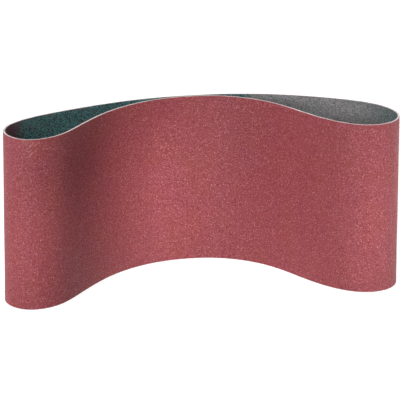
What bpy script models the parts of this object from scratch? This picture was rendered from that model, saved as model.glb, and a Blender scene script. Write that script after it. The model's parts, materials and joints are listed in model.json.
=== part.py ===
"""A cloth sanding belt, standing on its lower edge in the pinched loop that it springs into.

The belt is one endless strip: the grain is bonded to the outside of a cloth backing, so it is one
solid. Seen from above the loop is a bean with two round ends, and the long front run leans against
the back run between them. The long axis is X, the front faces -Y, and the belt's width stands up Z.
"""

import math

import bmesh
import bpy
import numpy as np

MM = 0.001

# The belt as it is sold
BELT_WIDTH = 100 * MM
BELT_LENGTH = 610 * MM  # round the inside, where the rollers run
BELT_THICKNESS = 1.2 * MM  # backing and grain together

# The loop as it stands
RUN_GAP = 0.5 * MM  # least clear gap where the front run leans against the back run

# Pull points of the loop, in mm, seen from above and going round anticlockwise. The strip bends
# smoothly between them as a spline does, and the whole loop is then scaled to BELT_LENGTH.
LEFT_END = [(-111, -48), (-97, -61), (-80, -50)]
LEFT_FLANK = [(-71, -29), (-62, -5), (-51, 16), (-36, 34)]
RIGHT_FLANK = [(27, 47), (45, 33), (60, 13), (76, -6)]
RIGHT_END = [(96, -18), (113, -9), (118, 13), (105, 36)]
BACK_RIGHT = [(81, 47), (56, 54), (30, 57)]
LEANED_ON = [(4, 54), (-20, 47)]  # where the front run leans against the back run
BACK_LEFT = [(-43, 37), (-64, 23), (-83, 8)]
LEFT_SHOULDER = [(-101, -8), (-113, -28)]

# Fineness of the mesh
FACETS = 300  # round the loop
STEPS_PER_SPAN = 24  # curve points between two pull points, before they are spaced evenly
SCALING_ROUNDS = 20
SHARP_ANGLE = math.radians(40)

# Finishes: name, colour and roughness
GRAIN = ("sanding_grain", (0.305, 0.071, 0.076), 0.70)
BACKING = ("cloth_backing", (0.055, 0.075, 0.078), 0.60)
CUT_EDGE = ("cut_edge", (0.640, 0.520, 0.490), 0.80)


def flat_normals(loop):
    """The outward unit normal at each point of an anticlockwise loop in the plan."""
    along = np.roll(loop, -1, axis=0) - np.roll(loop, 1, axis=0)
    along /= np.linalg.norm(along, axis=1)[:, None]
    return np.column_stack([along[:, 1], -along[:, 0]])


def loop_length(loop):
    return np.linalg.norm(np.roll(loop, -1, axis=0) - loop, axis=1).sum()


def smooth_loop(pulls):
    """Points on the closed cubic B-spline that the pull points draw."""
    before, after, beyond = (np.roll(pulls, shift, axis=0) for shift in (1, -1, -2))
    points = np.empty((len(pulls), STEPS_PER_SPAN, 2))
    for step in range(STEPS_PER_SPAN):
        t = step / STEPS_PER_SPAN
        points[:, step] = (
            (1 - t) ** 3 * before
            + (3 * t**3 - 6 * t**2 + 4) * pulls
            + (-3 * t**3 + 3 * t**2 + 3 * t + 1) * after
            + t**3 * beyond
        ) / 6
    return points.reshape(-1, 2)


def pull_points(scale):
    """The loop's pull points at one scale. The leaning ones stand off the back run by the wall and its gap."""
    back = np.array([BACK_RIGHT[-1], *LEANED_ON, BACK_LEFT[0]]) * MM * scale
    along = back[2:] - back[:-2]
    outward = np.column_stack([along[:, 1], -along[:, 0]]) / np.linalg.norm(along, axis=1)[:, None]
    leaning = back[1:-1] - outward * (BELT_THICKNESS + RUN_GAP)
    left = np.array(LEFT_END + LEFT_FLANK) * MM * scale
    rest = RIGHT_FLANK + RIGHT_END + BACK_RIGHT + LEANED_ON + BACK_LEFT + LEFT_SHOULDER
    return np.vstack([left, leaning[::-1], np.array(rest) * MM * scale])


def wall_middle():
    """The middle of the wall, seen from above, with equal steps and its box centred on the origin."""
    middle_length = BELT_LENGTH + math.pi * BELT_THICKNESS
    scale = 1.0
    for _ in range(SCALING_ROUNDS):
        loop = smooth_loop(pull_points(scale))
        scale *= middle_length / loop_length(loop)
    loop = smooth_loop(pull_points(scale))
    closed = np.vstack([loop, loop[:1]])
    reach = np.concatenate([[0], np.linalg.norm(np.diff(closed, axis=0), axis=1).cumsum()])
    stations = np.arange(FACETS) / FACETS * reach[-1]
    even = np.column_stack([np.interp(stations, reach, closed[:, axis]) for axis in (0, 1)])
    outside = even + flat_normals(even) * BELT_THICKNESS / 2
    return even - (outside.min(axis=0) + outside.max(axis=0)) / 2


def add_material(mesh, name, colour, roughness):
    material = bpy.data.materials.new(name)
    material.use_nodes = True
    shader = material.node_tree.nodes["Principled BSDF"]
    shader.inputs["Base Color"].default_value = (*colour, 1)
    shader.inputs["Roughness"].default_value = roughness
    shader.inputs["Metallic"].default_value = 0
    mesh.materials.append(material)


def build_belt():
    """A band drawn up from the plan, given its wall by a Solidify that keeps the band in the middle."""
    shape = bmesh.new()
    base = [shape.verts.new((x, y, 0)) for x, y in wall_middle()]
    edges = [shape.edges.new((start, end)) for start, end in zip(base, base[1:] + base[:1])]
    drawn = bmesh.ops.extrude_edge_only(shape, edges=edges)["geom"]
    risen = [item for item in drawn if isinstance(item, bmesh.types.BMVert)]
    bmesh.ops.translate(shape, verts=risen, vec=(0, 0, BELT_WIDTH))
    mesh = bpy.data.meshes.new("sanding_belt")
    shape.to_mesh(mesh)
    shape.free()
    for name, colour, roughness in (GRAIN, BACKING, CUT_EDGE):
        add_material(mesh, name, colour, roughness)
    mesh.shade_smooth()
    mesh.set_sharp_from_angle(angle=SHARP_ANGLE)
    belt = bpy.data.objects.new("sanding_belt", mesh)
    bpy.context.scene.collection.objects.link(belt)
    wall = belt.modifiers.new("wall", "SOLIDIFY")
    wall.thickness = BELT_THICKNESS
    wall.offset = 0
    wall.use_even_offset = True
    wall.material_offset = 1
    wall.material_offset_rim = 2
    return belt


def main():
    for old in list(bpy.data.objects):
        bpy.data.objects.remove(old)
    build_belt()


main()
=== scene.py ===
# %% [markdown]
# # An endless cloth sanding belt
#
# The object is the belt of a hand-held belt sander: a strip of cloth, 100 mm wide, with abrasive
# grain bonded to its outside, closed into a loop that is 610 mm round the inside. Off its rollers
# it springs into a bean-shaped loop and stands on one cut edge.
#
# The lesson dresses the plain solid of that loop. It reads the loop's outline from the solid, grows
# a new wall along it with Geometry Nodes, and then adds what a plain wall lacks: loose-looking
# grains, the pale cut edges with their threads, the cloth's weave and the glued joint.

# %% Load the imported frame
import json
import math

import bmesh
import bpy
import numpy as np
from mathutils import Matrix, Vector

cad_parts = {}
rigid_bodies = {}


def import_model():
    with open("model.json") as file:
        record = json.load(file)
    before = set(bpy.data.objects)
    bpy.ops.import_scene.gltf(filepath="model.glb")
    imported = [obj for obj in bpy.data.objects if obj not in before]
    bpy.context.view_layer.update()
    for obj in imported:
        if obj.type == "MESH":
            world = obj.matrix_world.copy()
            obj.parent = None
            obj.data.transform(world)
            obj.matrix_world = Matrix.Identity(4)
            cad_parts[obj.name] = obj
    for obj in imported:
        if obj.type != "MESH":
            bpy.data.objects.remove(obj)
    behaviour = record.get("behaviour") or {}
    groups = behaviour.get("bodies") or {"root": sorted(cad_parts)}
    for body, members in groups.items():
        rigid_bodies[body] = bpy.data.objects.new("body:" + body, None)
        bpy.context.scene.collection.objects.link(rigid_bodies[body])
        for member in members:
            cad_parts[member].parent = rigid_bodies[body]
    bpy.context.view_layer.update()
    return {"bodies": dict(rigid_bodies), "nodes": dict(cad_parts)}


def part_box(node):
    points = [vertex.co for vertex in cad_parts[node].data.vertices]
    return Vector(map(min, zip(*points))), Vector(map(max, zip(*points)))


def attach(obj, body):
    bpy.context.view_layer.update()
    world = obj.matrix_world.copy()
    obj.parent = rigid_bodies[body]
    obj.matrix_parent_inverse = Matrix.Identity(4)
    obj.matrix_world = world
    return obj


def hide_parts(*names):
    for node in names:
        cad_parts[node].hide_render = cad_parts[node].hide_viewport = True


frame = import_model()
MM = 0.001
solid_name = "sanding_belt"
print("solids", sorted(frame["nodes"]), "on bodies", sorted(frame["bodies"]))

# %% [markdown]
# ## The camera
#
# The photograph was taken from a little above with a long lens, so the belt's two edges run almost
# parallel. A long lens can be told from a short one by how much smaller the far side looks. How far
# above can't be told from it: a lower camera and a longer loop look nearly the same. About 16
# degrees is a choice, at which the loop measures 6.1 belt widths, as a 100 x 610 mm belt does. The
# camera here stands nearly two metres away behind a 300 mm lens, a touch to the right of the middle,
# and leans over by a quarter of a degree, because the photograph's left side does.

# %% Place the camera
LENS = 300.9
CAMERA_PLACE = Vector((0.0530, -1.8623, 0.5822))
CAMERA_AIM = Vector((-0.0020, 0.0004, 0.0500))
CAMERA_LEAN = math.radians(0.267)

camera_data = bpy.data.cameras.new("camera")
camera_data.lens = LENS
camera_data.sensor_width = 36.0
camera_data.clip_start = 0.1
camera_data.clip_end = 40.0
camera = bpy.data.objects.new("camera", camera_data)
bpy.context.scene.collection.objects.link(camera)
looking = (CAMERA_AIM - CAMERA_PLACE).to_track_quat("-Z", "Y").to_matrix().to_4x4()
camera.matrix_world = Matrix.Translation(CAMERA_PLACE) @ looking @ Matrix.Rotation(CAMERA_LEAN, 4, "Z")
bpy.context.scene.camera = camera
steepness = math.degrees(math.asin((CAMERA_PLACE - CAMERA_AIM).normalized().z))
print(f"the camera looks down by {steepness:.1f} degrees")

# %% [markdown]
# ## Node trees written as Python
#
# A material or a Geometry Nodes tree is a set of nodes and the wires between them. Built by hand in
# code, it takes three lines for every sum. Two small classes make it readable: `Wire` is the output
# of a node, and adding or multiplying wires makes the Math nodes that do it. `Tree.node` makes any
# other node: it takes the node's type, its settings, which come first because they change its
# sockets, and then what goes into the sockets.

# %% Wires and trees
def pick(sockets, key):
    """The socket at this place, or the one in use that has this name or identifier."""
    if isinstance(key, int):
        return sockets[key]
    named = [socket for socket in sockets if socket.name == key and socket.enabled]
    return named[0] if named else next(socket for socket in sockets if socket.identifier == key)


class Wire:
    """One output of a node. A sum written with it adds the Math node that works the sum out."""

    def __init__(self, tree, socket):
        self.tree = tree
        self.socket = socket

    def __add__(self, other):
        return self.tree.math("ADD", self, other)

    def __sub__(self, other):
        return self.tree.math("SUBTRACT", self, other)

    def __rsub__(self, other):
        return self.tree.math("SUBTRACT", other, self)

    def __mul__(self, other):
        return self.tree.math("MULTIPLY", self, other)

    def __truediv__(self, other):
        return self.tree.math("DIVIDE", self, other)

    def __rtruediv__(self, other):
        return self.tree.math("DIVIDE", other, self)

    def __pow__(self, other):
        return self.tree.math("POWER", self, other)

    def __gt__(self, other):
        return self.tree.math("GREATER_THAN", self, other)

    def __abs__(self):
        return self.tree.math("ABSOLUTE", self)

    __radd__ = __add__
    __rmul__ = __mul__


class Step:
    """A node that has been made. Its outputs are looked up by name."""

    def __init__(self, tree, made):
        self.tree = tree
        self.made = made

    def __getitem__(self, key):
        return Wire(self.tree, pick(self.made.outputs, key))


class Tree:
    """A material's or a modifier's node tree, written out as Python."""

    def __init__(self, tree):
        self.tree = tree

    def node(self, kind, settings=None, inputs=None):
        made = self.tree.nodes.new(kind)
        for name, value in (settings or {}).items():
            setattr(made, name, value)
        for key, value in (inputs or {}).items():
            self.feed(pick(made.inputs, key), value)
        return Step(self, made)

    def feed(self, socket, value):
        if isinstance(value, Wire):
            self.tree.links.new(value.socket, socket)
        elif socket.type == "RGBA":
            socket.default_value = (*value, 1.0)
        else:
            socket.default_value = value

    def math(self, operation, *values):
        """A Math node for what Python has no sign for."""
        return self.node("ShaderNodeMath", {"operation": operation}, dict(enumerate(values)))["Value"]

    def vector(self, operation, *values):
        inputs = dict(enumerate(values))
        return self.node("ShaderNodeVectorMath", {"operation": operation}, inputs)["Vector"]

    def split(self, vector):
        """The three numbers of a vector, each to be taken by its letter."""
        return self.node("ShaderNodeSeparateXYZ", {}, {"Vector": vector})

    def joined(self, **parts):
        """A vector put together from its X, Y and Z. Those not given are zero."""
        return self.node("ShaderNodeCombineXYZ", {}, parts)["Vector"]

    def scaled(self, value, factor):
        """This vector times one number."""
        settings = {"operation": "SCALE"}
        return self.node("ShaderNodeVectorMath", settings, {"Vector": value, "Scale": factor})["Vector"]

    def ranged(self, value, low, high, low_out=0.0, high_out=1.0):
        """The value moved from one range to another, and held at its ends."""
        ends = {"From Min": low, "From Max": high, "To Min": low_out, "To Max": high_out}
        return self.node("ShaderNodeMapRange", {"clamp": True}, {"Value": value, **ends})["Result"]

    def noise(self, place, size, detail=2.0, roughness=0.5):
        """Soft noise from 0 to 1, whose lumps are about this many metres across."""
        values = {"Vector": place, "Scale": 1 / size, "Detail": detail, "Roughness": roughness}
        return self.node("ShaderNodeTexNoise", {}, values)["Fac"]

    def cells(self, place, size, randomness=1.0):
        """Cells about this many metres across: each one's random number, and the way to its middle."""
        values = {"Vector": place, "Scale": 1 / size, "Randomness": randomness}
        found = self.node("ShaderNodeTexVoronoi", {}, values)
        own = self.node("ShaderNodeSeparateColor", {}, {"Color": found["Color"]})["Red"]
        return own, found["Distance"]

    def blend(self, factor, first, second):
        """The second colour laid over the first by this factor."""
        colours = {"Factor": factor, "A": first, "B": second}
        return self.node("ShaderNodeMix", {"data_type": "RGBA"}, colours)["Result"]

    def in_space(self):
        """The place on the piece, in metres."""
        return self.node("ShaderNodeTexCoord")["Object"]

    def on_the_cloth(self):
        """The place on the unrolled cloth, in metres along the belt and across it."""
        return self.node("ShaderNodeUVMap", {"uv_map": "UVMap"})["UV"]


def finish_tree(name):
    """A new material and its empty tree."""
    material = bpy.data.materials.new(name)
    material.use_nodes = True
    material.node_tree.nodes.clear()
    return material, Tree(material.node_tree)


def surface(tree, colour, roughness, height, bump, **constants):
    """The last nodes of a finish: colour, roughness and a bump whose height is in metres."""
    raised = {"Strength": bump, "Distance": 1.0, "Height": height}
    normal = tree.node("ShaderNodeBump", {}, raised)["Normal"]
    values = {"Base Color": colour, "Roughness": roughness, "Normal": normal}
    values.update({name.replace("_", " "): value for name, value in constants.items()})
    shader = tree.node("ShaderNodeBsdfPrincipled", {}, values)["BSDF"]
    tree.node("ShaderNodeOutputMaterial", {}, {"Surface": shader})


print("trees are ready")

# %% [markdown]
# ## The outline of the loop
#
# The wall has to stand exactly where the solid stands, so its outline is measured and not drawn
# again. The solid arrives as loose triangles. Once its doubles are merged, the edges between the
# flat lower edge and the upright faces form two closed rings: one round the outside, one round the
# inside. Half way between them runs the middle of the wall, the path that everything follows.

# %% Walk round the lower edge
SAME_PLACE = 0.002 * MM  # points nearer than this are one


def rings_at_the_foot(node):
    """The closed rings of points where the flat lower edge meets the upright faces, longest first."""
    copy = bmesh.new()
    copy.from_mesh(node.data)
    bmesh.ops.remove_doubles(copy, verts=copy.verts, dist=SAME_PLACE)
    copy.normal_update()
    neighbours = {}
    for edge in copy.edges:
        level = sorted(abs(face.normal.z) for face in edge.link_faces)
        low = max(vert.co.z for vert in edge.verts) < MM
        if low and len(level) == 2 and level[0] < 0.1 and level[1] > 0.9:
            first, second = (vert.index for vert in edge.verts)
            neighbours.setdefault(first, []).append(second)
            neighbours.setdefault(second, []).append(first)
    copy.verts.ensure_lookup_table()
    rings = []
    while neighbours:
        here = min(neighbours)
        ring = []
        while here in neighbours:
            ring.append(here)
            here = next((other for other in neighbours.pop(here) if other in neighbours), None)
        rings.append(np.array([copy.verts[index].co[:2] for index in ring]))
    copy.free()
    return sorted(rings, key=lap_length, reverse=True)


def lap_length(ring):
    """The length once round a closed ring."""
    return float(np.linalg.norm(np.roll(ring, -1, axis=0) - ring, axis=1).sum())


def nearest_on(ring, point):
    """The point of a closed ring that is nearest to this one."""
    spans = np.roll(ring, -1, axis=0) - ring
    share = np.clip(((point - ring) * spans).sum(1) / (spans**2).sum(1), 0, 1)
    candidates = ring + share[:, None] * spans
    return candidates[np.argmin(((candidates - point) ** 2).sum(1))]


outer_ring, inner_ring = rings_at_the_foot(frame["nodes"][solid_name])
facing = np.array([nearest_on(inner_ring, point) for point in outer_ring])
middle = (outer_ring + facing) / 2
following = np.roll(middle, -1, axis=0)
if (middle[:, 0] * following[:, 1] - middle[:, 1] * following[:, 0]).sum() < 0:
    middle = middle[::-1]
foot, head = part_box(solid_name)
WALL_LENGTH = lap_length(middle)
WALL_THICKNESS = float(np.median(np.linalg.norm(outer_ring - facing, axis=1)))
WALL_WIDTH = head.z - foot.z
print(f"{len(middle)} points, {WALL_LENGTH / MM:.1f} mm round the middle,", end=" ")
print(f"{WALL_THICKNESS / MM:.2f} mm thick, {WALL_WIDTH / MM:.1f} mm wide")

# %% Make the path
def path_mesh(points):
    """A closed chain of edges through these points, starting at the one furthest back."""
    start = int(np.argmax(points[:, 1]))
    points = np.roll(points, -start, axis=0)
    count = len(points)
    mesh = bpy.data.meshes.new("belt_path")
    edges = [(index, (index + 1) % count) for index in range(count)]
    mesh.from_pydata([(x, y, foot.z) for x, y in points], edges, [])
    return mesh


def distance_to(points, index):
    """How far along the path this point lies, in metres."""
    return float(np.linalg.norm(np.diff(points[: index + 1], axis=0), axis=1).sum())


path = path_mesh(middle)
walked = np.array([vertex.co[:2] for vertex in path.vertices])
LEFT_END = distance_to(walked, int(np.argmin(walked[:, 0])))
RIGHT_END = distance_to(walked, int(np.argmax(walked[:, 0])))
print("the path starts at", tuple(round(value / MM, 1) for value in path.vertices[0].co), end=" ")
print(f"and turns at {LEFT_END / MM:.0f} mm and {RIGHT_END / MM:.0f} mm")

# %% [markdown]
# ## The grain
#
# The red outside is aluminium oxide grain, bedded in coloured resin. From half a metre it reads as
# one brick red. Closer, every grain is its own shade, some facets catch the light as pale pink
# specks, and the shade drifts a little between orange and magenta where the resin lies thicker.
#
# Random cells of the grain's own size give each grain its shade. Cells twice as wide darken the gaps
# between clumps of grain, and a broad noise turns the hue. All are read from the object's own
# coordinates in metres, so one small cell is one grain.

# %% Finish: sanding grain
GRAIN_DARK = (0.130, 0.002, 0.005)
GRAIN_PALE = (0.574, 0.155, 0.174)
GRAIN_ORANGE = (0.335, 0.064, 0.036)
GRAIN_MAGENTA = (0.280, 0.040, 0.096)
GLINT_PINK = (0.720, 0.450, 0.460)
GRAIN_SIZE = 0.40 * MM
CLUMP_SIZE = 0.95 * MM
HUE_SIZE = 16 * MM
GRAIN_RISE = 0.13 * MM
LUMP_RISE = 0.06 * MM
JOINT_START = 4 * MM
JOINT_SLANT = 0.42
JOINT_WIDTH = 0.5 * MM
JOINT_DEPTH = 0.15 * MM


def joint_line(tree, half_width):
    """1 on the slanting line where the strip's two ends meet, fading to 0 at half_width from it."""
    parts = tree.split(tree.on_the_cloth())
    away = abs(parts["X"] - (parts["Y"] * JOINT_SLANT + JOINT_START))
    return tree.ranged(away, 0.0, half_width, 1.0, 0.0)


SCUFF_ALONG = LEFT_END + 30 * MM
SCUFF_HEIGHT = WALL_WIDTH - 4 * MM
SCUFF_TURN = math.radians(48)
SCUFF_PATCH = 7 * MM
SCUFF_WIDTH = 0.6 * MM


def scuffs(tree):
    """A few slanting hairlines, rubbed pale, in a patch near the top of the left bend."""
    parts = tree.split(tree.on_the_cloth())
    over, up = parts["X"] - SCUFF_ALONG, parts["Y"] - SCUFF_HEIGHT
    lengthwise = over * math.cos(SCUFF_TURN) + up * math.sin(SCUFF_TURN)
    crosswise = up * math.cos(SCUFF_TURN) - over * math.sin(SCUFF_TURN)
    lines = tree.noise(tree.joined(X=lengthwise * 0.06, Y=crosswise), SCUFF_WIDTH, detail=1.0)
    away = (over * over + up * up) ** 0.5
    return tree.ranged(lines, 0.56, 0.66) * tree.ranged(away, 3 * MM, SCUFF_PATCH, 1.0, 0.0)


def sanding_grain():
    material, tree = finish_tree("sanding_grain")
    place = tree.in_space()
    own, near = tree.cells(place, GRAIN_SIZE)
    lumps = tree.noise(place, 0.5 * MM, detail=1.0)
    gaps = tree.cells(tree.vector("ADD", place, (0.11, 0.23, 0.07)), CLUMP_SIZE, 0.8)[1]
    hue = tree.noise(tree.vector("ADD", place, (0.31, 0.17, 0.05)), HUE_SIZE, detail=2.0)
    shade = 0.06 + own * 0.34 + tree.ranged(gaps, 0.2, 0.8, 0.27, 0.0)
    colour = tree.blend(shade, GRAIN_DARK, GRAIN_PALE)
    tinge = tree.blend(tree.ranged(hue, 0.36, 0.64), GRAIN_ORANGE, GRAIN_MAGENTA)
    colour = tree.blend(0.13, colour, tinge)
    glint = (own > 0.93) * tree.ranged(near, 0.3, 0.6, 1.0, 0.0)
    colour = tree.blend(glint * 0.7, colour, GLINT_PINK)
    colour = tree.blend(scuffs(tree) * 0.45, colour, GLINT_PINK)
    joint = joint_line(tree, JOINT_WIDTH)
    colour = tree.blend(joint * 0.65, colour, GRAIN_DARK)
    roughness = 0.70 - glint * 0.3 - tree.ranged(own, 0.6, 1.0, 0.0, 0.15)
    height = (1.0 - near) * own * GRAIN_RISE + lumps * LUMP_RISE - joint * JOINT_DEPTH
    surface(tree, colour, roughness, height, 0.6, Diffuse_Roughness=0.6, Specular_IOR_Level=0.4)
    return material


grain_finish = sanding_grain()
print(grain_finish.name, len(grain_finish.node_tree.nodes), "nodes")

# %% [markdown]
# ## The backing
#
# The inside is the bare side of the backing: a heavy twill, dyed and stiffened dark green, nearly
# black where it stands in its own shade. Threads that lie proud have lost some of the dye, so it is
# peppered with pale pinkish grey. Round the right end the cloth is painted pale grey: a painted
# sheen, on a weave that is dusty there too. Round the left end it is tinted maroon and darker.
# Light may have done that, but here the one is taken for dust in the weave and the other for a
# stain. The threads follow the belt, so this pattern reads the wall's own UV map, which holds the
# real distance along the belt and across it in metres.

# %% Finish: cloth backing
CLOTH_TEAL = (0.150, 0.490, 0.460)
CLOTH_DEEP = (0.008, 0.010, 0.013)
CLOTH_MAROON = (0.190, 0.060, 0.076)
CLOTH_BLUE = (0.085, 0.200, 0.250)
CLOTH_WORN = (0.380, 0.270, 0.275)
# Colours of the pale stretch round the right end: a painted sheen on a dusty weave.
DUST_SHEEN_PALE = (0.540, 0.460, 0.456)
DUST_SHEEN_DEEP = (0.015, 0.060, 0.070)
DUST_SHEEN_BLUE = (0.150, 0.250, 0.300)
DUST_SHEEN_RUST = (0.340, 0.215, 0.165)
THREAD = 0.62 * MM
FIBRE_SIZE = 0.36 * MM
SPECK_SIZE = 0.50 * MM
DUST_SHEEN_BEFORE = 20 * MM  # counted from this far before the right end
DUST_SHEEN_LENGTH = 132 * MM
MAROON_AT = LEFT_END - 2 * MM


def dust_and_sheen_stretch(tree, along):
    """1 over the stretch round the right end that is painted pale: a painted sheen on a dusty weave."""
    counted = along + (WALL_LENGTH - RIGHT_END + DUST_SHEEN_BEFORE)
    counted = tree.math("MODULO", counted, WALL_LENGTH)
    rising = tree.ranged(counted, 10 * MM, 60 * MM)
    falling = tree.ranged(counted, DUST_SHEEN_LENGTH - 6 * MM, DUST_SHEEN_LENGTH, 1.0, 0.0)
    return rising * falling


def cloth_backing():
    material, tree = finish_tree("cloth_backing")
    place = tree.on_the_cloth()
    parts = tree.split(place)
    along = parts["X"] * (2 * math.pi / THREAD)
    across = parts["Y"] * (2 * math.pi / THREAD)
    twill = tree.math("SINE", along + across) * 0.5 + 0.5
    threads = tree.math("SINE", across * 2.0) * 0.5 + 0.5
    own = tree.cells(place, FIBRE_SIZE)[0]
    speck, speck_near = tree.cells(tree.vector("ADD", place, (0.21, 0.13, 0.0)), SPECK_SIZE)
    slubs = tree.noise(place, 0.5 * MM, detail=1.0)
    colour = tree.blend(own ** 2.2, CLOTH_DEEP, CLOTH_TEAL)
    colour = tree.blend((speck > 0.85) * 0.6, colour, CLOTH_BLUE)
    colour = tree.blend(tree.ranged(speck, 0.0, 0.28, 0.9, 0.0), colour, CLOTH_MAROON)
    # Round the right end the cloth is painted pale grey: a painted sheen on a dusty weave.
    dust_sheen_tone = tree.blend(own - 0.06, DUST_SHEEN_DEEP, DUST_SHEEN_PALE)
    dust_sheen_colour = tree.blend(0.3, dust_sheen_tone, tree.blend(speck, DUST_SHEEN_BLUE, DUST_SHEEN_RUST))
    colour = tree.blend(dust_and_sheen_stretch(tree, parts["X"]), colour, dust_sheen_colour)
    worn = (speck > 0.90) * tree.ranged(speck_near, 0.2, 0.55, 1.0, 0.0)
    colour = tree.blend(worn * 0.8, colour, CLOTH_WORN)
    far_left = abs(parts["X"] - MAROON_AT)
    colour = tree.blend(tree.ranged(far_left, 10 * MM, 24 * MM, 0.9, 0.0), colour, CLOTH_MAROON)
    roughness = 0.50 + tree.ranged(slubs, 0.3, 0.7, 0.0, 0.2)
    height = (twill * 0.6 + threads * 0.4) * (0.09 * MM) + slubs * (0.10 * MM)
    sheen = {"Sheen_Weight": 0.05, "Sheen_Roughness": 0.4}
    surface(tree, colour, roughness, height, 0.7, Specular_IOR_Level=0.1, **sheen)
    return material


backing_finish = cloth_backing()
print(backing_finish.name, len(backing_finish.node_tree.nodes), "nodes")

# %% [markdown]
# ## The cut edges
#
# The belt is slit from a wide roll, so both its long edges are raw cuts. They show the undyed heart
# of the cloth as a thin pale pink line, between corners that the resin has stained darker.

# %% Finish: cut edge
EDGE_PALE = (0.740, 0.680, 0.670)
EDGE_PINK = (0.680, 0.520, 0.520)
EDGE_DIRT = (0.480, 0.360, 0.350)
EDGE_STAIN = (0.200, 0.110, 0.115)


def cut_fibres(tree):
    """The undyed heart of the cloth: pale, in places pink, with dirt between the fibres."""
    place = tree.in_space()
    fibres = tree.noise(place, 0.5 * MM, detail=3.0, roughness=0.6)
    smear = tree.noise(place, 5 * MM, detail=3.0)
    colour = tree.blend(tree.ranged(smear, 0.4, 0.7, 0.0, 0.8), EDGE_PALE, EDGE_PINK)
    return tree.blend(tree.ranged(fibres, 0.3, 0.5, 0.6, 0.0), colour, EDGE_DIRT), fibres


def cut_edge():
    material, tree = finish_tree("cut_edge")
    colour, fibres = cut_fibres(tree)
    travelled = tree.split(tree.on_the_cloth())["Y"]
    in_lap = tree.math("MODULO", travelled, WALL_WIDTH + WALL_THICKNESS)
    from_heart = abs((in_lap - WALL_WIDTH) / WALL_THICKNESS - 0.5)
    colour = tree.blend(tree.ranged(from_heart + fibres * 0.2, 0.44, 0.58), colour, EDGE_STAIN)
    surface(tree, colour, 0.78 + fibres * 0.15, fibres * (0.12 * MM), 0.8, Specular_IOR_Level=0.2)
    return material


def frayed_thread():
    material, tree = finish_tree("frayed_thread")
    colour, fibres = cut_fibres(tree)
    surface(tree, colour, 0.78 + fibres * 0.15, fibres * (0.02 * MM), 0.5, Specular_IOR_Level=0.2)
    return material


edge_finish = cut_edge()
print(edge_finish.name, len(edge_finish.node_tree.nodes), "nodes")

# %% [markdown]
# ## Running a Geometry Nodes tree once
#
# A tree is made with named inputs for its sizes. `grow` puts it on an object as a modifier, sets the
# inputs by their identifiers, because a modifier doesn't know them by name, asks Blender for the
# evaluated mesh, and keeps only that. What is left is a plain mesh with no modifier on it.

# %% Trees that make a piece
def growing_tree(name, sizes):
    """A Geometry Nodes tree with these named inputs: the group, its Tree and its input wires."""
    group = bpy.data.node_groups.new(name, "GeometryNodeTree")
    group.is_modifier = True
    group.interface.new_socket("Geometry", in_out="INPUT", socket_type="NodeSocketGeometry")
    group.interface.new_socket("Geometry", in_out="OUTPUT", socket_type="NodeSocketGeometry")
    for size, value in sizes.items():
        kind = "NodeSocketInt" if isinstance(value, int) else "NodeSocketFloat"
        group.interface.new_socket(size, in_out="INPUT", socket_type=kind)
    tree = Tree(group)
    return group, tree, tree.node("NodeGroupInput")


def stored(tree, geometry, name, value, kind, domain):
    """The geometry with this value kept on it under a name."""
    settings = {"data_type": kind, "domain": domain}
    inputs = {"Geometry": geometry, "Name": name, "Value": value}
    return tree.node("GeometryNodeStoreNamedAttribute", settings, inputs)["Geometry"]


def at_random(tree, low, high, seed):
    """A random number, or a random vector, between these two."""
    kind = "FLOAT_VECTOR" if isinstance(low, tuple) else "FLOAT"
    inputs = {"Min": low, "Max": high, "Seed": seed}
    return tree.node("FunctionNodeRandomValue", {"data_type": kind}, inputs)["Value"]


def moved(tree, geometry, **where):
    """The geometry with its points set to a Position or shifted by an Offset."""
    return tree.node("GeometryNodeSetPosition", {}, {"Geometry": geometry, **where})["Geometry"]


def unit_grid(tree, columns, rows):
    """A flat grid one metre square round the origin, and its points' places on it."""
    counts = {"Size X": 1.0, "Size Y": 1.0, "Vertices X": columns, "Vertices Y": rows}
    grid = tree.node("GeometryNodeMeshGrid", {}, counts)["Mesh"]
    return grid, tree.split(tree.node("GeometryNodeInputPosition")["Position"])


def close_tree(tree, geometry, finishes):
    """The end of a tree: Realize Instances, and a Set Material for each finish and its selection."""
    geometry = tree.node("GeometryNodeRealizeInstances", {}, {"Geometry": geometry})["Geometry"]
    for finish, selection in finishes:
        values = {"Geometry": geometry, "Material": finish}
        if selection is not None:
            values["Selection"] = selection
        geometry = tree.node("GeometryNodeSetMaterial", {}, values)["Geometry"]
    tree.node("NodeGroupOutput", {}, {"Geometry": geometry})


def drop_empty_slots(mesh):
    """Takes out the material slots that hold nothing, which a tree's primitives leave behind."""
    index = np.zeros(len(mesh.polygons), np.int32)
    mesh.polygons.foreach_get("material_index", index)
    materials = list(mesh.materials)
    filled = [place for place, material in enumerate(materials) if material]
    mesh.materials.clear()
    for place in filled:
        mesh.materials.append(materials[place])
    mesh.polygons.foreach_set("material_index", np.searchsorted(filled, index).astype(np.int32))


def grow(name, mesh, group, sizes, finishers=()):
    """A plain mesh object: the tree run once on this mesh, and then any other modifiers."""
    piece = bpy.data.objects.new(name, mesh)
    bpy.context.scene.collection.objects.link(piece)
    modifier = piece.modifiers.new(group.name, "NODES")
    modifier.node_group = group
    for item in group.interface.items_tree:
        if item.name in sizes:
            modifier[item.identifier] = sizes[item.name]
    for kind, settings in finishers:
        other = piece.modifiers.new(kind.lower(), kind)
        for setting, value in settings.items():
            setattr(other, setting, value)
    graph = bpy.context.evaluated_depsgraph_get()
    evaluated = piece.evaluated_get(graph)
    made = bpy.data.meshes.new_from_object(evaluated, preserve_all_data_layers=True, depsgraph=graph)
    piece.modifiers.clear()
    piece.data = made
    made.name = name
    drop_empty_slots(made)
    made.calc_loop_triangles()
    print(name, len(made.vertices), "points", len(made.loop_triangles), "triangles")
    return piece


def finished(piece):
    """The piece rides on the root body."""
    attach(piece, "root")
    return piece


print("a tree can be grown now")

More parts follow.
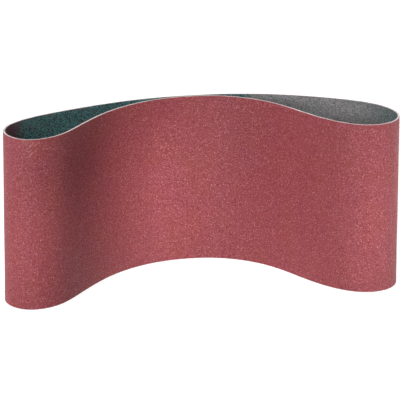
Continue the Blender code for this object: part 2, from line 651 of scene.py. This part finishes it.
# %% [markdown]
# ## The wall of the belt
#
# The wall is one strip that follows the path, which is a rule and so a job for Geometry Nodes. A
# flat grid is the raw cloth: one side of it counts along the belt, the other counts once round the
# wall's thin section, up the outside, over the top cut, down the inside and under the foot. Every
# point of the grid knows both counts, and that is enough to place it on the path. Merging the points
# that meet closes the loop.
#
# Real cloth is never quite flat, so a soft noise bends inside and outside together by a fraction of
# a millimetre, and a finer one roughens the two cuts. The noise is read at the wall's place in
# space, so it meets itself where the loop closes.

# %% Place a point on the belt
def on_the_belt(tree, given, share, height, offset):
    """The place this share of the way round, at this height, this far outside the wall's middle."""
    line = tree.node("GeometryNodeMeshToCurve", {}, {"Mesh": given["Geometry"]})["Curve"]
    smooth = {"spline_type": "CATMULL_ROM"}
    line = tree.node("GeometryNodeCurveSplineType", smooth, {"Curve": line})["Curve"]
    here = {"Curves": line, "Factor": share}
    found = tree.node("GeometryNodeSampleCurve", {"mode": "FACTOR"}, here)
    outward = tree.vector("NORMALIZE", tree.vector("CROSS_PRODUCT", found["Tangent"], (0.0, 0.0, 1.0)))
    centre = tree.vector("ADD", found["Position"], tree.joined(Z=height))
    values = {"Vector": centre, "W": given["Seed"], "Scale": 1.0 / given["Ripple Size"], "Detail": 1.0}
    ripple = tree.node("ShaderNodeTexNoise", {"noise_dimensions": "4D"}, values)["Fac"]
    offset = offset + (ripple - 0.5) * given["Ripple"]
    return tree.vector("ADD", centre, tree.scaled(outward, offset)), centre


# %% Weave the wall
OUTSIDE, TOP_CUT, INSIDE = 0.0, 1.0, 2.0
SHARP_ANGLE = 0.6  # radians between two faces
WALL_SIZES = {
    "Length": WALL_LENGTH,
    "Width": WALL_WIDTH,
    "Thickness": WALL_THICKNESS,
    "Stations": 600,
    "Rows": 24,
    "Rim Rows": 4,
    "Crown": 0.10 * MM,
    "Ripple": 0.5 * MM,
    "Ripple Size": 38 * MM,
    "Roughened Cut": 0.16 * MM,
    "Seed": 3.0,
}


def on_side(tree, number):
    """1 on the faces of the wall that carry this side's number."""
    kept = {"Name": "side"}
    side = tree.node("GeometryNodeInputNamedAttribute", {"data_type": "INT"}, kept)["Attribute"]
    return 0.5 - abs(side - number) > 0.0


def wall_tree():
    group, tree, given = growing_tree("belt_wall", WALL_SIZES)
    rows, rim_rows = given["Rows"], given["Rim Rows"]
    around = (rows + rim_rows) * 2.0
    cloth, parts = unit_grid(tree, given["Stations"] + 1.0, around + 1.0)
    share = parts["X"] + 0.5
    step = (parts["Y"] + 0.5) * around
    up = tree.ranged(step, 0.0, rows)
    over = tree.ranged(step, rows, rows + rim_rows)
    down = tree.ranged(step, rows + rim_rows, rows * 2.0 + rim_rows)
    under = tree.ranged(step, rows * 2.0 + rim_rows, around)
    side = (step > rows) + (step > rows + rim_rows) + (step > rows * 2.0 + rim_rows)
    across = 0.5 - over + under
    level = up - down
    travelled = given["Width"] * (up + down) + given["Thickness"] * (over + under)
    unrolled = tree.joined(X=share * given["Length"], Y=travelled)
    cloth = stored(tree, cloth, "UVMap", unrolled, "FLOAT2", "CORNER")
    cloth = stored(tree, cloth, "side", side, "INT", "FACE")
    rounding = 1.0 - (across * 2.0) ** 2.0
    towards_rim = level * 2.0 - 1.0
    height = given["Crown"] + (given["Width"] - given["Crown"] * 2.0) * level
    height = height + given["Crown"] * rounding * towards_rim
    place, centre = on_the_belt(tree, given, share, height, across * given["Thickness"])
    rough = tree.noise(centre, 1.7 * MM, detail=2.0) - 0.5
    rough = rough * given["Roughened Cut"] * (abs(towards_rim) ** 30.0) * towards_rim
    cloth = moved(tree, cloth, Position=tree.vector("ADD", place, tree.joined(Z=rough)))
    meeting = {"Geometry": cloth, "Distance": SAME_PLACE}
    cloth = tree.node("GeometryNodeMergeByDistance", {}, meeting)["Geometry"]
    corner = tree.node("GeometryNodeInputMeshEdgeAngle")["Unsigned Angle"] > SHARP_ANGLE
    sharp = {"Geometry": cloth, "Selection": corner, "Shade Smooth": False}
    cloth = tree.node("GeometryNodeSetShadeSmooth", {"domain": "EDGE"}, sharp)["Geometry"]
    back, front = on_side(tree, INSIDE), on_side(tree, OUTSIDE)
    close_tree(tree, cloth, [(edge_finish, None), (backing_finish, back), (grain_finish, front)])
    return group


def signed_volume(mesh):
    """The volume inside a closed mesh, above zero where its faces point outwards."""
    corners = mesh.vertices
    return sum(t.area * t.normal.dot(corners[t.vertices[0]].co) for t in mesh.loop_triangles) / 3


belt_strip = grow("belt_strip", path, wall_tree(), WALL_SIZES)
print("volume", round(signed_volume(belt_strip.data) / MM**3 / 1000, 1), "cm3,", end=" ")
print("finishes", [material.name for material in belt_strip.data.materials])
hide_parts(solid_name)
finished(belt_strip)

# %% [markdown]
# ## Grains that stand proud
#
# Most grain lies level under the resin, but some crystals stand out, and they are what scratches.
# They are small facetted lumps, sunk for more than half their size. Geometry Nodes scatters them
# over the outside with a least spacing, turns and scales each at random, and gives each its own
# tint, which the finish reads as an attribute.

# %% Finish: single grains
def crystal_finish():
    material, tree = finish_tree("grain_crystal")
    tint = tree.node("ShaderNodeAttribute", {"attribute_name": "tint"})["Fac"]
    colour = tree.blend(tree.ranged(tint, 0.0, 1.0, 0.15, 0.75), GRAIN_DARK, GRAIN_PALE)
    colour = tree.blend(tree.ranged(tint, 0.90, 1.0, 0.0, 0.6), colour, GLINT_PINK)
    worn = tree.noise(tree.in_space(), 0.2 * MM, detail=2.0)
    surface(tree, colour, 0.5 - tree.ranged(tint, 0.6, 1.0, 0.0, 0.2), worn * (0.02 * MM), 0.4)
    return material


# %% Scatter the grains
CRYSTAL_SIZES = {
    "Spacing": 1.30 * MM,
    "Smallest": 0.12 * MM,
    "Largest": 0.32 * MM,
    "Sunk": 0.08 * MM,
    "Seed": 11,
}


def crystal_tree(finish):
    group, tree, given = growing_tree("proud_grains", CRYSTAL_SIZES)
    outside = {
        "Mesh": given["Geometry"],
        "Selection": on_side(tree, OUTSIDE),
        "Distance Min": given["Spacing"],
        "Density Max": 1e6,
        "Seed": given["Seed"],
    }
    spots = tree.node("GeometryNodeDistributePointsOnFaces", {"distribute_method": "POISSON"}, outside)
    points = moved(tree, spots["Points"], Offset=tree.scaled(spots["Normal"], given["Sunk"] * -1.0))
    lump = tree.node("GeometryNodeMeshUVSphere", {}, {"Segments": 4, "Rings": 2, "Radius": 1.0})["Mesh"]
    turned = at_random(tree, (0.0, 0.0, 0.0), (2 * math.pi,) * 3, given["Seed"])
    turned = tree.node("FunctionNodeEulerToRotation", {}, {"Euler": turned})["Rotation"]
    size = at_random(tree, given["Smallest"], given["Largest"], given["Seed"] + 1.0)
    squat = at_random(tree, (0.7, 0.7, 0.7), (1.2, 1.2, 1.2), given["Seed"] + 2.0)
    placed = {"Points": points, "Instance": lump, "Rotation": turned, "Scale": tree.scaled(squat, size)}
    lumps = tree.node("GeometryNodeInstanceOnPoints", {}, placed)["Instances"]
    tint = at_random(tree, 0.0, 1.0, given["Seed"] + 3.0)
    lumps = stored(tree, lumps, "tint", tint, "FLOAT", "INSTANCE")
    close_tree(tree, lumps, [(finish, None)])
    return group


scatter = crystal_tree(crystal_finish())
proud_grains = grow("proud_grains", belt_strip.data.copy(), scatter, CRYSTAL_SIZES)
finished(proud_grains)

# %% [markdown]
# ## Threads at the top cut
#
# The slitting knife leaves the ends of a few threads sticking out of a cut. Each is a short bent
# curve with a thin three-sided section, scattered over the top cut. The belt stands on its other
# cut, which presses the threads there flat, so that one gets none.

# %% Fray the top cut
THREAD_SIZES = {
    "Per Metre": 900.0,
    "Shortest": 0.20 * MM,
    "Longest": 0.65 * MM,
    "Seed": 5,
}
THREAD_STOUTNESS = 0.06  # its radius as a share of its length
THREAD_LEAN = 0.8


def thread_tree(finish):
    group, tree, given = growing_tree("frayed_threads", THREAD_SIZES)
    on_top = {
        "Mesh": given["Geometry"],
        "Selection": on_side(tree, TOP_CUT),
        "Density": given["Per Metre"] / WALL_THICKNESS,
        "Seed": given["Seed"],
    }
    spots = tree.node("GeometryNodeDistributePointsOnFaces", {"distribute_method": "RANDOM"}, on_top)
    bend = {"Start": (0.0, 0.0, -0.3), "Middle": (0.25, 0.0, 0.5), "End": (0.9, 0.0, 0.75)}
    bend["Resolution"] = 3
    bend = tree.node("GeometryNodeCurveQuadraticBezier", {}, bend)["Curve"]
    spread = at_random(tree, (-1.0, -1.0, -1.0), (1.0, 1.0, 1.0), given["Seed"] + 1.0)
    upward = tree.vector("ADD", spots["Normal"], tree.scaled(spread, THREAD_LEAN))
    lean = tree.node("FunctionNodeAlignRotationToVector", {"axis": "Z"}, {"Vector": upward})["Rotation"]
    size = at_random(tree, given["Shortest"], given["Longest"], given["Seed"] + 2.0)
    section = {"Resolution": 3, "Radius": THREAD_STOUTNESS}
    section = tree.node("GeometryNodeCurvePrimitiveCircle", {}, section)["Curve"]
    bar = {"Curve": bend, "Profile Curve": section, "Fill Caps": True}
    bar = tree.node("GeometryNodeCurveToMesh", {}, bar)["Mesh"]
    placed = {"Points": spots["Points"], "Instance": bar, "Rotation": lean, "Scale": size}
    threads = tree.node("GeometryNodeInstanceOnPoints", {}, placed)["Instances"]
    close_tree(tree, threads, [(finish, None)])
    return group


fray = thread_tree(frayed_thread())
frayed_threads = grow("frayed_threads", belt_strip.data.copy(), fray, THREAD_SIZES)
finished(frayed_threads)

# %% [markdown]
# ## The tape behind the joint
#
# The strip's two ends are cut on a slant, so that the seam crosses a roller a little at a time, and
# butted together. What holds them is a thin tough film, glued across the seam on the inside, where
# it never meets the work. The photograph shows no seam, so it lies on the back run, out of sight.
# The film is a patch that follows the wall, so the same rule places it: a small grid, counted along
# the belt and up it, set against the wall's inner face and given its thickness.

# %% Finish: joint film
FILM_AMBER = (0.300, 0.215, 0.135)
FILM_BROWN = (0.200, 0.150, 0.110)


def joint_film():
    material, tree = finish_tree("joint_film")
    place = tree.on_the_cloth()
    parts = tree.split(place)
    along = parts["X"] * (2 * math.pi / THREAD)
    across = parts["Y"] * (2 * math.pi / THREAD)
    weave = tree.math("SINE", along) * tree.math("SINE", across) * 0.5 + 0.5
    cloudy = tree.noise(place, 6 * MM, detail=3.0)
    colour = tree.blend(tree.ranged(cloudy, 0.35, 0.65), FILM_AMBER, FILM_BROWN)
    height = weave * (0.03 * MM) + cloudy * (0.05 * MM)
    surface(tree, colour, 0.30 + cloudy * 0.15, height, 0.5)
    return material


# %% Lay the tape
GLUED_IN = 0.01 * MM  # how far the film sinks into the cloth
TAPE_SIZES = {
    "Film Width": 18 * MM,
    "Film Thickness": 0.10 * MM,
    "Edge Gap": 0.8 * MM,
    "Joint Start": JOINT_START,
    "Joint Slant": JOINT_SLANT,
    "Length": WALL_LENGTH,
    "Width": WALL_WIDTH,
    "Thickness": WALL_THICKNESS,
    "Ripple": WALL_SIZES["Ripple"],
    "Ripple Size": WALL_SIZES["Ripple Size"],
    "Seed": WALL_SIZES["Seed"],
    "Columns": 20,
    "Rows": 26,
}


def tape_tree(finish):
    group, tree, given = growing_tree("joint_tape", TAPE_SIZES)
    film, parts = unit_grid(tree, given["Columns"], given["Rows"])
    height = given["Edge Gap"] + (given["Width"] - given["Edge Gap"] * 2.0) * (parts["Y"] + 0.5)
    along = given["Joint Start"] + given["Joint Slant"] * height + parts["X"] * given["Film Width"]
    film = stored(tree, film, "UVMap", tree.joined(X=along, Y=height), "FLOAT2", "CORNER")
    share = tree.math("FLOORED_MODULO", along / given["Length"], 1.0)
    inwards = (given["Thickness"] + given["Film Thickness"]) * -0.5 + GLUED_IN
    film = moved(tree, film, Position=on_the_belt(tree, given, share, height, inwards)[0])
    close_tree(tree, film, [(finish, None)])
    return group


even = {"thickness": TAPE_SIZES["Film Thickness"], "offset": 0.0, "use_even_offset": True}
film_tree = tape_tree(joint_film())
joint_tape = grow("joint_tape", path_mesh(middle), film_tree, TAPE_SIZES, [("SOLIDIFY", even)])
finished(joint_tape)
print("tape volume", round(signed_volume(joint_tape.data) / MM**3, 1), "mm3")

# %% [markdown]
# ## The stage and the light
#
# The belt stands on a plain white floor in white surroundings. Both show white to the camera, and
# the floor still keeps a soft share of the belt's shadow. The surroundings give little light of
# their own. All light is white and comes from soft lamps.

# %% White floor and white surroundings
FLOOR_REACH = 9.0
FLOOR_DROP = 0.05 * MM
ROOM_LIGHT = 0.05


def seen_directly(tree):
    """1 for the camera's own rays, and for those that reach it by a reflection or through glass."""
    rays = tree.node("ShaderNodeLightPath")
    share = tree.math("MAXIMUM", rays["Is Camera Ray"], rays["Is Glossy Ray"])
    return tree.math("MAXIMUM", share, rays["Is Transmission Ray"])


def stage_floor():
    mesh = bpy.data.meshes.new("stage_floor")
    signs = [(-1, -1), (1, -1), (1, 1), (-1, 1)]
    corners = [(x * FLOOR_REACH, y * FLOOR_REACH, foot.z - FLOOR_DROP) for x, y in signs]
    mesh.from_pydata(corners, [], [(0, 1, 2, 3)])
    floor = bpy.data.objects.new("stage_floor", mesh)
    bpy.context.scene.collection.objects.link(floor)
    material, tree = finish_tree("stage_white")
    matt = tree.node("ShaderNodeBsdfDiffuse", {}, {"Color": (0.8, 0.8, 0.8)})["BSDF"]
    glow = {"Color": (1.0, 1.0, 1.0), "Strength": 0.87}
    white = tree.node("ShaderNodeEmission", {}, glow)["Emission"]
    faint = tree.node("ShaderNodeBsdfDiffuse", {}, {"Color": (0.3, 0.3, 0.3)})["BSDF"]
    white = tree.node("ShaderNodeAddShader", {}, {0: white, 1: faint})["Shader"]
    shown = tree.node("ShaderNodeMixShader", {}, {0: seen_directly(tree), 1: matt, 2: white})["Shader"]
    tree.node("ShaderNodeOutputMaterial", {}, {"Surface": shown})
    mesh.materials.append(material)
    return floor


def white_world(strength):
    world = bpy.data.worlds.new("white_room")
    world.use_nodes = True
    world.node_tree.nodes.clear()
    tree = Tree(world.node_tree)
    light = tree.ranged(seen_directly(tree), 0.0, 1.0, strength, 1.0)
    glow = {"Color": (1.0, 1.0, 1.0), "Strength": light}
    back = tree.node("ShaderNodeBackground", {}, glow)["Background"]
    tree.node("ShaderNodeOutputWorld", {}, {"Surface": back})
    bpy.context.scene.world = world


stage_floor()
white_world(ROOM_LIGHT)
print("white floor and world")

# %% [markdown]
# ## The lamps
#
# Two broad lamps from the left light the front, and two behind the belt light its back. They leave
# the fold beside the left bend in shade, as in the photograph. Narrow lamps, which reach one stretch
# each, open up the right loop, the hollow of the front run, its foot and the insides of both loops.
#
# What lit the real belt isn't known. The powers were tried out until each stretch was about as
# bright as in the photograph, so from any other side the light is only a plausible one.

# %% Lamps
MID_BELT = (0.0, 0.0, 0.05)
RIGHT_LOOP = (0.10, 0.0, 0.05)
RIGHT_LOOP_TOP = (0.10, 0.0, 0.08)
RIGHT_LOOP_FOOT = (0.10, 0.0, 0.015)
LEFT_BEND = (-0.097, -0.05, 0.045)
HOLLOW = (-0.02, 0.04, 0.05)
HOLLOW_LEFT = (-0.036, 0.02, 0.050)
HOLLOW_TOP = (-0.031, 0.03, 0.095)
FRONT_FOOT = (0.0, 0.0, -0.01)
HOLLOW_FOOT = (-0.03, 0.03, -0.01)
RIGHT_LOOP_INSIDE = (0.06, 0.055, 0.09)
LEFT_LOOP_INSIDE = (-0.118, 0.02, 0.09)


def softbox(name, azimuth, elevation, distance, size, power, aim=MID_BELT, spread=180, tall=None):
    """A soft lamp this many degrees round and up from the front, at this distance from its aim.

    Its size and distance are in metres, its power in watts, and its beam's spread in degrees.
    """
    turn, rise = math.radians(azimuth), math.radians(elevation)
    flat = math.cos(rise)
    way = Vector((math.sin(turn) * flat, -math.cos(turn) * flat, math.sin(rise)))
    lamp = bpy.data.lights.new(name, "AREA")
    lamp.shape = "RECTANGLE"
    lamp.size = size
    lamp.size_y = tall or size
    lamp.energy = power
    lamp.spread = math.radians(spread)
    placed = bpy.data.objects.new(name, lamp)
    bpy.context.scene.collection.objects.link(placed)
    placed.location = Vector(aim) + way * distance
    placed.rotation_mode = "QUATERNION"
    placed.rotation_quaternion = (-way).to_track_quat("-Z", "Y")
    return placed


softbox("key_left", -24, 20, 1.6, 0.5, 14.4)
softbox("low_left", -24, 3, 1.6, 0.5, 4.3)
softbox("left_bend", 3, 10, 0.7, 0.04, 0.0018, aim=LEFT_BEND, spread=6)
softbox("foot_strip", -10, 2, 1.0, 0.3, 0.014, aim=FRONT_FOOT, spread=10, tall=0.02)
softbox("right_side", 48, 20, 0.6, 0.06, 0.0092, aim=RIGHT_LOOP_TOP, spread=12)
softbox("right_front", 35, 20, 0.6, 0.06, 0.0045, aim=RIGHT_LOOP, spread=12)
softbox("right_low", 50, 3, 0.6, 0.06, 0.0036, aim=RIGHT_LOOP_FOOT, spread=12)
softbox("right_gloss", 120, 3, 0.8, 0.2, 0.030, aim=RIGHT_LOOP_TOP, spread=24)
softbox("hollow_side", 60, 5, 0.7, 0.10, 0.0130, aim=HOLLOW_FOOT, spread=12)
softbox("hollow_front", 25, 8, 0.7, 0.06, 0.0022, aim=HOLLOW, spread=8)
softbox("hollow_left", 33, 8, 0.7, 0.06, 0.0030, aim=HOLLOW_LEFT, spread=6)
softbox("hollow_top", 20, 10, 0.6, 0.06, 0.0027, aim=HOLLOW_TOP, spread=7)
softbox("into_right_loop", -35, 30, 0.7, 0.12, 0.0069, aim=RIGHT_LOOP_INSIDE, spread=24)
softbox("into_left_loop", -2, 44, 0.7, 0.06, 0.0066, aim=LEFT_LOOP_INSIDE, spread=9)
softbox("overhead", 0, 88, 1.6, 0.3, 0.073, spread=16)
softbox("back_light", 180, 35, 1.6, 0.8, 14.0)
softbox("back_left", -170, 30, 1.6, 0.8, 5.0)
bpy.context.scene.view_settings.view_transform = "Standard"
